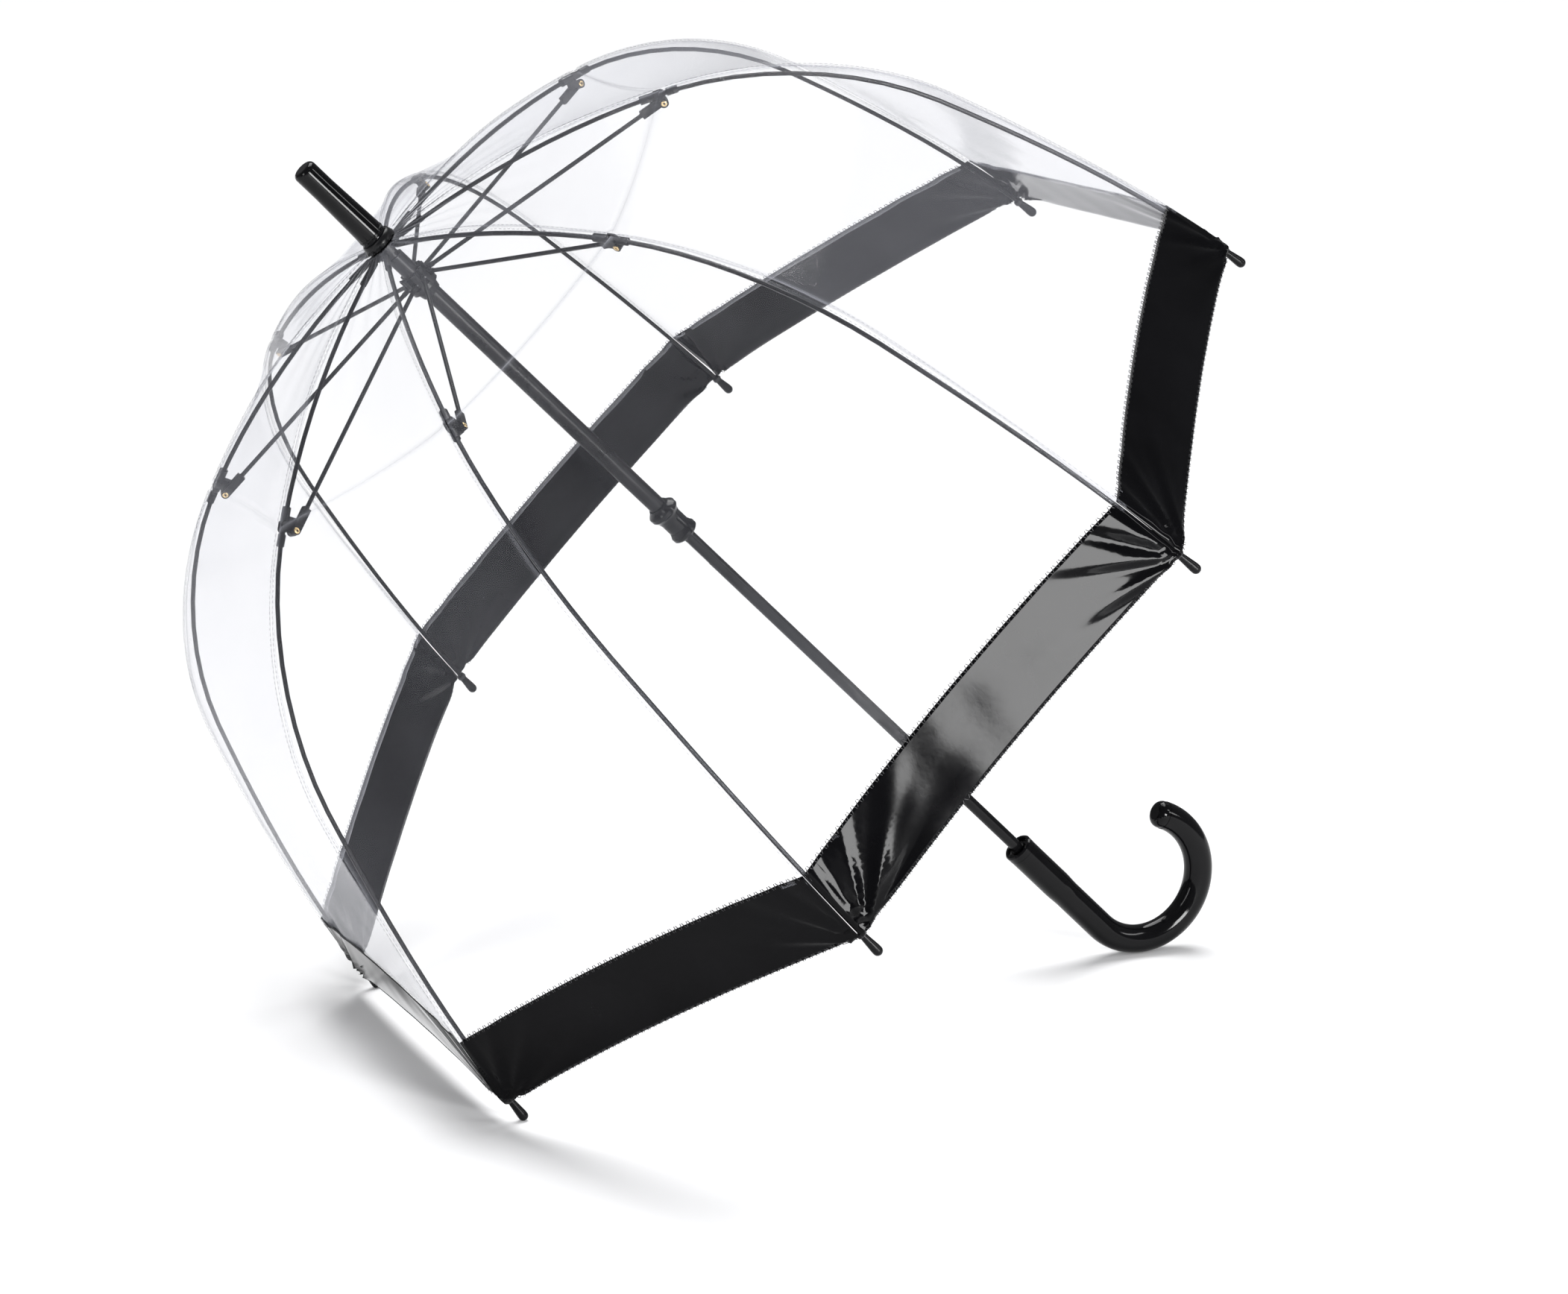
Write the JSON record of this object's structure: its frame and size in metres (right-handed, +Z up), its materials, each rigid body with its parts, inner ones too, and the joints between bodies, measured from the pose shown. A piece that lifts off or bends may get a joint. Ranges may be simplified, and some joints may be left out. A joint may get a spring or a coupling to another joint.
{
  "type": "bubble umbrella",
  "caption": "Clear dome umbrella with a black border, long sliding runner, folding ribs and stretchers, tapered ferrule and crook handle.",
  "frame": {"origin": "on the floor under the middle of the umbrella, which stands on two rib tips and the heel of its crook", "axes": "+Z up from the floor, +X along the floor towards the crook handle, +Y across; the shaft leans 45 degrees with its ferrule up and towards -X"},
  "size_m": [0.7745, 0.7868, 0.7021],
  "materials": {
    "gloss_black": "high-gloss black moulded plastic",
    "satin_black": "satin black moulded plastic",
    "black_enamel": "black enamelled steel tube",
    "rib_black": "smooth black glass-fibre rod",
    "bright_steel": "bright steel wire and leaf",
    "clear_film": "clear flexible film, very slightly lavender, glossy",
    "border_film": "glossy opaque black film with overlocked edges",
    "rivet_brass": "hollow brass rivet"
  },
  "bodies": {
    "root": {"shaft_tube": "black_enamel", "ferrule": "gloss_black", "notch": "satin_black", "notch_ring_wire": "bright_steel", "handle": "gloss_black", "handle_collar": "gloss_black", "top_catch_spring": "bright_steel", "bottom_catch_spring": "bright_steel"},
    "runner": {"runner_sleeve": "satin_black", "runner_hub": "satin_black", "hub_pins": "bright_steel", "runner_grip": "gloss_black"},
    "rib_1": {"rib_upper_1": "rib_black", "rib_bracket_1": "satin_black"},
    "rib_outer_1": {"rib_lower_1": "rib_black"},
    "strut_1": {"stretcher_1": "rib_black"},
    "gore_top_1": {"canopy_upper_1": "clear_film"},
    "gore_skirt_1": {"canopy_lower_1": "clear_film"},
    "rib_2": {"rib_upper_2": "rib_black", "rib_bracket_2": "satin_black"},
    "rib_outer_2": {"rib_lower_2": "rib_black"},
    "strut_2": {"stretcher_2": "rib_black"},
    "gore_top_2": {"canopy_upper_2": "clear_film"},
    "gore_skirt_2": {"canopy_lower_2": "clear_film"},
    "rib_3": {"rib_upper_3": "rib_black", "rib_bracket_3": "satin_black"},
    "rib_outer_3": {"rib_lower_3": "rib_black"},
    "strut_3": {"stretcher_3": "rib_black"},
    "gore_top_3": {"canopy_upper_3": "clear_film"},
    "gore_skirt_3": {"canopy_lower_3": "clear_film"},
    "rib_4": {"rib_upper_4": "rib_black", "rib_bracket_4": "satin_black"},
    "rib_outer_4": {"rib_lower_4": "rib_black"},
    "strut_4": {"stretcher_4": "rib_black"},
    "gore_top_4": {"canopy_upper_4": "clear_film"},
    "gore_skirt_4": {"canopy_lower_4": "clear_film"},
    "rib_5": {"rib_upper_5": "rib_black", "rib_bracket_5": "satin_black"},
    "rib_outer_5": {"rib_lower_5": "rib_black"},
    "strut_5": {"stretcher_5": "rib_black"},
    "gore_top_5": {"canopy_upper_5": "clear_film"},
    "gore_skirt_5": {"canopy_lower_5": "clear_film"},
    "rib_6": {"rib_upper_6": "rib_black", "rib_bracket_6": "satin_black"},
    "rib_outer_6": {"rib_lower_6": "rib_black"},
    "strut_6": {"stretcher_6": "rib_black"},
    "gore_top_6": {"canopy_upper_6": "clear_film"},
    "gore_skirt_6": {"canopy_lower_6": "clear_film"},
    "rib_7": {"rib_upper_7": "rib_black", "rib_bracket_7": "satin_black"},
    "rib_outer_7": {"rib_lower_7": "rib_black"},
    "strut_7": {"stretcher_7": "rib_black"},
    "gore_top_7": {"canopy_upper_7": "clear_film"},
    "gore_skirt_7": {"canopy_lower_7": "clear_film"},
    "rib_8": {"rib_upper_8": "rib_black", "rib_bracket_8": "satin_black"},
    "rib_outer_8": {"rib_lower_8": "rib_black"},
    "strut_8": {"stretcher_8": "rib_black"},
    "gore_top_8": {"canopy_upper_8": "clear_film"},
    "gore_skirt_8": {"canopy_lower_8": "clear_film"}
  },
  "joints": [
    {"name": "runner_slide", "type": "slide", "parent": "root", "child": "runner", "axis": [0.7089, 0, -0.7053], "range_m": [0, 0.37559]},
    {"name": "rib_root_hinge_1", "type": "hinge", "parent": "root", "child": "rib_1", "pos_m": [-0.26215, 0.00364, 0.58823], "axis": [-0.2699, 0.9239, -0.2713], "range_deg": [0, 72.9]},
    {"name": "rib_knuckle_1", "type": "hinge", "parent": "rib_1", "child": "rib_outer_1", "pos_m": [-0.09612, 0.08075, 0.68565], "axis": [-0.2699, 0.9239, -0.2713], "range_deg": [-42.88, 0]},
    {"name": "stretcher_hinge_1", "type": "hinge", "parent": "runner", "child": "strut_1", "pos_m": [-0.24177, 0.00753, 0.56278], "axis": [-0.2699, 0.9239, -0.2713], "range_deg": [-94.34, 0]},
    {"name": "gore_top_fold_1", "type": "hinge", "parent": "root", "child": "gore_top_1", "pos_m": [-0.26608, 0.00622, 0.58853], "axis": [-0.4987, 0.7071, -0.5013], "range_deg": [0, 72.9], "deforming": ["canopy_upper_1"]},
    {"name": "gore_skirt_fold_1", "type": "hinge", "parent": "gore_top_1", "child": "gore_skirt_1", "pos_m": [-0.1381, 0.13882, 0.64825], "axis": [-0.4987, 0.7071, -0.5013], "range_deg": [-45.3, 0], "deforming": ["canopy_lower_1"]},
    {"name": "rib_root_hinge_2", "type": "hinge", "parent": "root", "child": "rib_2", "pos_m": [-0.26578, 0.00878, 0.58458], "axis": [-0.6516, 0.3827, -0.655], "range_deg": [0, 72.9]},
    {"name": "rib_knuckle_2", "type": "hinge", "parent": "rib_2", "child": "rib_outer_2", "pos_m": [-0.17666, 0.19494, 0.60469], "axis": [-0.6516, 0.3827, -0.655], "range_deg": [-42.88, 0]},
    {"name": "stretcher_hinge_2", "type": "hinge", "parent": "runner", "child": "strut_2", "pos_m": [-0.24658, 0.00893, 0.55794], "axis": [-0.6516, 0.3827, -0.655], "range_deg": [-94.34, 0]},
    {"name": "gore_top_fold_2", "type": "hinge", "parent": "root", "child": "gore_top_2", "pos_m": [-0.27047, 0.0088, 0.58412], "axis": [-0.7053, 0, -0.7089], "range_deg": [0, 72.9], "deforming": ["canopy_upper_2"]},
    {"name": "gore_skirt_fold_2", "type": "hinge", "parent": "gore_top_2", "child": "gore_skirt_2", "pos_m": [-0.236, 0.19632, 0.54984], "axis": [-0.7053, 0, -0.7089], "range_deg": [-45.3, 0], "deforming": ["canopy_lower_2"]},
    {"name": "rib_root_hinge_3", "type": "hinge", "parent": "root", "child": "rib_3", "pos_m": [-0.27091, 0.00878, 0.57943], "axis": [-0.6516, -0.3827, -0.655], "range_deg": [0, 72.9]},
    {"name": "rib_knuckle_3", "type": "hinge", "parent": "rib_3", "child": "rib_outer_3", "pos_m": [-0.29055, 0.19494, 0.4902], "axis": [-0.6516, -0.3827, -0.655], "range_deg": [-42.88, 0]},
    {"name": "stretcher_hinge_3", "type": "hinge", "parent": "runner", "child": "strut_3", "pos_m": [-0.25068, 0.00511, 0.55382], "axis": [-0.6516, -0.3827, -0.655], "range_deg": [-94.34, 0]},
    {"name": "gore_top_fold_3", "type": "hinge", "parent": "root", "child": "gore_top_3", "pos_m": [-0.27486, 0.00622, 0.57971], "axis": [-0.4987, -0.7071, -0.5013], "range_deg": [0, 72.9], "deforming": ["canopy_upper_3"]},
    {"name": "gore_skirt_fold_3", "type": "hinge", "parent": "gore_top_3", "child": "gore_skirt_3", "pos_m": [-0.33391, 0.13882, 0.45142], "axis": [-0.4987, -0.7071, -0.5013], "range_deg": [-45.3, 0], "deforming": ["canopy_lower_3"]},
    {"name": "rib_root_hinge_4", "type": "hinge", "parent": "root", "child": "rib_4", "pos_m": [-0.27453, 0.00364, 0.57579], "axis": [-0.2699, -0.9239, -0.2713], "range_deg": [0, 72.9]},
    {"name": "rib_knuckle_4", "type": "hinge", "parent": "rib_4", "child": "rib_outer_4", "pos_m": [-0.37109, 0.08075, 0.40925], "axis": [-0.2699, -0.9239, -0.2713], "range_deg": [-42.88, 0]},
    {"name": "stretcher_hinge_4", "type": "hinge", "parent": "runner", "child": "strut_4", "pos_m": [-0.25167, -0.00171, 0.55282], "axis": [-0.2699, -0.9239, -0.2713], "range_deg": [-94.34, 0]},
    {"name": "gore_top_fold_4", "type": "hinge", "parent": "root", "child": "gore_top_4", "pos_m": [-0.27667, 0, 0.57788], "axis": [0, -1, 0], "range_deg": [0, 72.9], "deforming": ["canopy_upper_4"]},
    {"name": "gore_skirt_fold_4", "type": "hinge", "parent": "gore_top_4", "child": "gore_skirt_4", "pos_m": [-0.37446, 0, 0.41065], "axis": [0, -1, 0], "range_deg": [-45.3, 0], "deforming": ["canopy_lower_4"]},
    {"name": "rib_root_hinge_5", "type": "hinge", "parent": "root", "child": "rib_5", "pos_m": [-0.27453, -0.00364, 0.57579], "axis": [0.2699, -0.9239, 0.2713], "range_deg": [0, 72.9]},
    {"name": "rib_knuckle_5", "type": "hinge", "parent": "rib_5", "child": "rib_outer_5", "pos_m": [-0.37109, -0.08075, 0.40925], "axis": [0.2699, -0.9239, 0.2713], "range_deg": [-42.88, 0]},
    {"name": "stretcher_hinge_5", "type": "hinge", "parent": "runner", "child": "strut_5", "pos_m": [-0.24897, -0.00753, 0.55554], "axis": [0.2699, -0.9239, 0.2713], "range_deg": [-94.34, 0]},
    {"name": "gore_top_fold_5", "type": "hinge", "parent": "root", "child": "gore_top_5", "pos_m": [-0.27486, -0.00622, 0.57971], "axis": [0.4987, -0.7071, 0.5013], "range_deg": [0, 72.9], "deforming": ["canopy_upper_5"]},
    {"name": "gore_skirt_fold_5", "type": "hinge", "parent": "gore_top_5", "child": "gore_skirt_5", "pos_m": [-0.33391, -0.13882, 0.45142], "axis": [0.4987, -0.7071, 0.5013], "range_deg": [-45.3, 0], "deforming": ["canopy_lower_5"]},
    {"name": "rib_root_hinge_6", "type": "hinge", "parent": "root", "child": "rib_6", "pos_m": [-0.27091, -0.00878, 0.57943], "axis": [0.6516, -0.3827, 0.655], "range_deg": [0, 72.9]},
    {"name": "rib_knuckle_6", "type": "hinge", "parent": "rib_6", "child": "rib_outer_6", "pos_m": [-0.29055, -0.19494, 0.4902], "axis": [0.6516, -0.3827, 0.655], "range_deg": [-42.88, 0]},
    {"name": "stretcher_hinge_6", "type": "hinge", "parent": "runner", "child": "strut_6", "pos_m": [-0.24416, -0.00893, 0.56037], "axis": [0.6516, -0.3827, 0.655], "range_deg": [-94.34, 0]},
    {"name": "gore_top_fold_6", "type": "hinge", "parent": "root", "child": "gore_top_6", "pos_m": [-0.27047, -0.0088, 0.58412], "axis": [0.7053, 0, 0.7089], "range_deg": [0, 72.9], "deforming": ["canopy_upper_6"]},
    {"name": "gore_skirt_fold_6", "type": "hinge", "parent": "gore_top_6", "child": "gore_skirt_6", "pos_m": [-0.236, -0.19632, 0.54984], "axis": [0.7053, 0, 0.7089], "range_deg": [-45.3, 0], "deforming": ["canopy_lower_6"]},
    {"name": "rib_root_hinge_7", "type": "hinge", "parent": "root", "child": "rib_7", "pos_m": [-0.26578, -0.00878, 0.58458], "axis": [0.6516, 0.3827, 0.655], "range_deg": [0, 72.9]},
    {"name": "rib_knuckle_7", "type": "hinge", "parent": "rib_7", "child": "rib_outer_7", "pos_m": [-0.17666, -0.19494, 0.60469], "axis": [0.6516, 0.3827, 0.655], "range_deg": [-42.88, 0]},
    {"name": "stretcher_hinge_7", "type": "hinge", "parent": "runner", "child": "strut_7", "pos_m": [-0.24006, -0.00511, 0.56449], "axis": [0.6516, 0.3827, 0.655], "range_deg": [-94.34, 0]},
    {"name": "gore_top_fold_7", "type": "hinge", "parent": "root", "child": "gore_top_7", "pos_m": [-0.26608, -0.00622, 0.58853], "axis": [0.4987, 0.7071, 0.5013], "range_deg": [0, 72.9], "deforming": ["canopy_upper_7"]},
    {"name": "gore_skirt_fold_7", "type": "hinge", "parent": "gore_top_7", "child": "gore_skirt_7", "pos_m": [-0.1381, -0.13882, 0.64825], "axis": [0.4987, 0.7071, 0.5013], "range_deg": [-45.3, 0], "deforming": ["canopy_lower_7"]},
    {"name": "rib_root_hinge_8", "type": "hinge", "parent": "root", "child": "rib_8", "pos_m": [-0.26215, -0.00364, 0.58823], "axis": [0.2699, 0.9239, 0.2713], "range_deg": [0, 72.9]},
    {"name": "rib_knuckle_8", "type": "hinge", "parent": "rib_8", "child": "rib_outer_8", "pos_m": [-0.09612, -0.08075, 0.68565], "axis": [0.2699, 0.9239, 0.2713], "range_deg": [-42.88, 0]},
    {"name": "stretcher_hinge_8", "type": "hinge", "parent": "runner", "child": "strut_8", "pos_m": [-0.23907, 0.00171, 0.56549], "axis": [0.2699, 0.9239, 0.2713], "range_deg": [-94.34, 0]},
    {"name": "gore_top_fold_8", "type": "hinge", "parent": "root", "child": "gore_top_8", "pos_m": [-0.26426, 0, 0.59036], "axis": [0, 1, 0], "range_deg": [0, 72.9], "deforming": ["canopy_upper_8"]},
    {"name": "gore_skirt_fold_8", "type": "hinge", "parent": "gore_top_8", "child": "gore_skirt_8", "pos_m": [-0.09754, 0, 0.68902], "axis": [0, 1, 0], "range_deg": [-45.3, 0], "deforming": ["canopy_lower_8"]}
  ],
  "couplings": [
    {"joint": "rib_root_hinge_1", "follows": "runner_slide", "rad_per_m": 3.3865},
    {"joint": "rib_knuckle_1", "follows": "runner_slide", "rad_per_m": -1.9917},
    {"joint": "stretcher_hinge_1", "follows": "runner_slide", "rad_per_m": -4.3828},
    {"joint": "gore_top_fold_1", "follows": "runner_slide", "rad_per_m": 3.3865},
    {"joint": "gore_skirt_fold_1", "follows": "runner_slide", "rad_per_m": -2.104},
    {"joint": "rib_root_hinge_2", "follows": "runner_slide", "rad_per_m": 3.3865},
    {"joint": "rib_knuckle_2", "follows": "runner_slide", "rad_per_m": -1.9917},
    {"joint": "stretcher_hinge_2", "follows": "runner_slide", "rad_per_m": -4.3828},
    {"joint": "gore_top_fold_2", "follows": "runner_slide", "rad_per_m": 3.3865},
    {"joint": "gore_skirt_fold_2", "follows": "runner_slide", "rad_per_m": -2.104},
    {"joint": "rib_root_hinge_3", "follows": "runner_slide", "rad_per_m": 3.3865},
    {"joint": "rib_knuckle_3", "follows": "runner_slide", "rad_per_m": -1.9917},
    {"joint": "stretcher_hinge_3", "follows": "runner_slide", "rad_per_m": -4.3828},
    {"joint": "gore_top_fold_3", "follows": "runner_slide", "rad_per_m": 3.3865},
    {"joint": "gore_skirt_fold_3", "follows": "runner_slide", "rad_per_m": -2.104},
    {"joint": "rib_root_hinge_4", "follows": "runner_slide", "rad_per_m": 3.3865},
    {"joint": "rib_knuckle_4", "follows": "runner_slide", "rad_per_m": -1.9917},
    {"joint": "stretcher_hinge_4", "follows": "runner_slide", "rad_per_m": -4.3828},
    {"joint": "gore_top_fold_4", "follows": "runner_slide", "rad_per_m": 3.3865},
    {"joint": "gore_skirt_fold_4", "follows": "runner_slide", "rad_per_m": -2.104},
    {"joint": "rib_root_hinge_5", "follows": "runner_slide", "rad_per_m": 3.3865},
    {"joint": "rib_knuckle_5", "follows": "runner_slide", "rad_per_m": -1.9917},
    {"joint": "stretcher_hinge_5", "follows": "runner_slide", "rad_per_m": -4.3828},
    {"joint": "gore_top_fold_5", "follows": "runner_slide", "rad_per_m": 3.3865},
    {"joint": "gore_skirt_fold_5", "follows": "runner_slide", "rad_per_m": -2.104},
    {"joint": "rib_root_hinge_6", "follows": "runner_slide", "rad_per_m": 3.3865},
    {"joint": "rib_knuckle_6", "follows": "runner_slide", "rad_per_m": -1.9917},
    {"joint": "stretcher_hinge_6", "follows": "runner_slide", "rad_per_m": -4.3828},
    {"joint": "gore_top_fold_6", "follows": "runner_slide", "rad_per_m": 3.3865},
    {"joint": "gore_skirt_fold_6", "follows": "runner_slide", "rad_per_m": -2.104},
    {"joint": "rib_root_hinge_7", "follows": "runner_slide", "rad_per_m": 3.3865},
    {"joint": "rib_knuckle_7", "follows": "runner_slide", "rad_per_m": -1.9917},
    {"joint": "stretcher_hinge_7", "follows": "runner_slide", "rad_per_m": -4.3828},
    {"joint": "gore_top_fold_7", "follows": "runner_slide", "rad_per_m": 3.3865},
    {"joint": "gore_skirt_fold_7", "follows": "runner_slide", "rad_per_m": -2.104},
    {"joint": "rib_root_hinge_8", "follows": "runner_slide", "rad_per_m": 3.3865},
    {"joint": "rib_knuckle_8", "follows": "runner_slide", "rad_per_m": -1.9917},
    {"joint": "stretcher_hinge_8", "follows": "runner_slide", "rad_per_m": -4.3828},
    {"joint": "gore_top_fold_8", "follows": "runner_slide", "rad_per_m": 3.3865},
    {"joint": "gore_skirt_fold_8", "follows": "runner_slide", "rad_per_m": -2.104}
  ]
}
